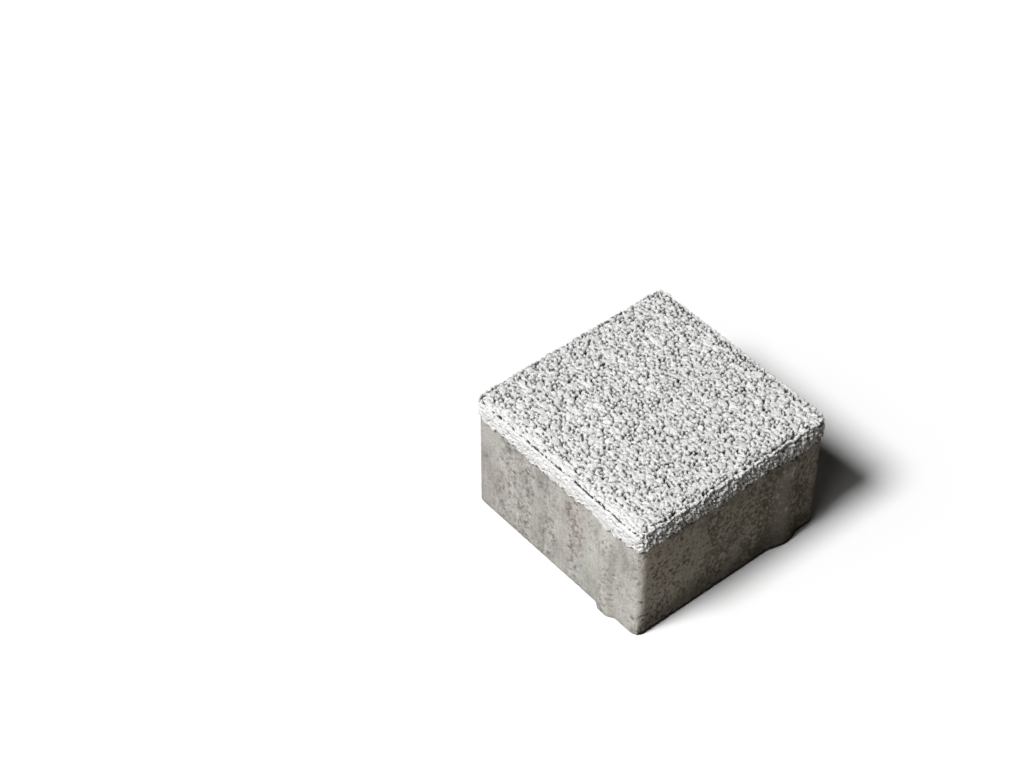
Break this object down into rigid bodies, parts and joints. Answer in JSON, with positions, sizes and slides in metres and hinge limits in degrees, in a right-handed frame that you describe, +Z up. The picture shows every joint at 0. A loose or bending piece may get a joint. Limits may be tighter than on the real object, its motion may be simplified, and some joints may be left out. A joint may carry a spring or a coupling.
{
  "type": "paving block",
  "caption": "Square two-layer concrete paving block: grey backing with an upright spacer rib on each side, and a slightly overhanging facing of coarse white granulate.",
  "frame": {"origin": "centre of the bed face, on the level that the block lies on", "axes": "+Z up from the bed face to the walking face; +X and +Y square to two neighbouring sides"},
  "size_m": [0.104, 0.104, 0.06],
  "materials": {
    "grey_concrete": "matt pressed concrete, streaked and finely pitted",
    "white_granulate": "coarse open granulate, matt"
  },
  "bodies": {
    "root": {"concrete_backing": "grey_concrete", "granulate_facing": "white_granulate"}
  },
  "joints": []
}
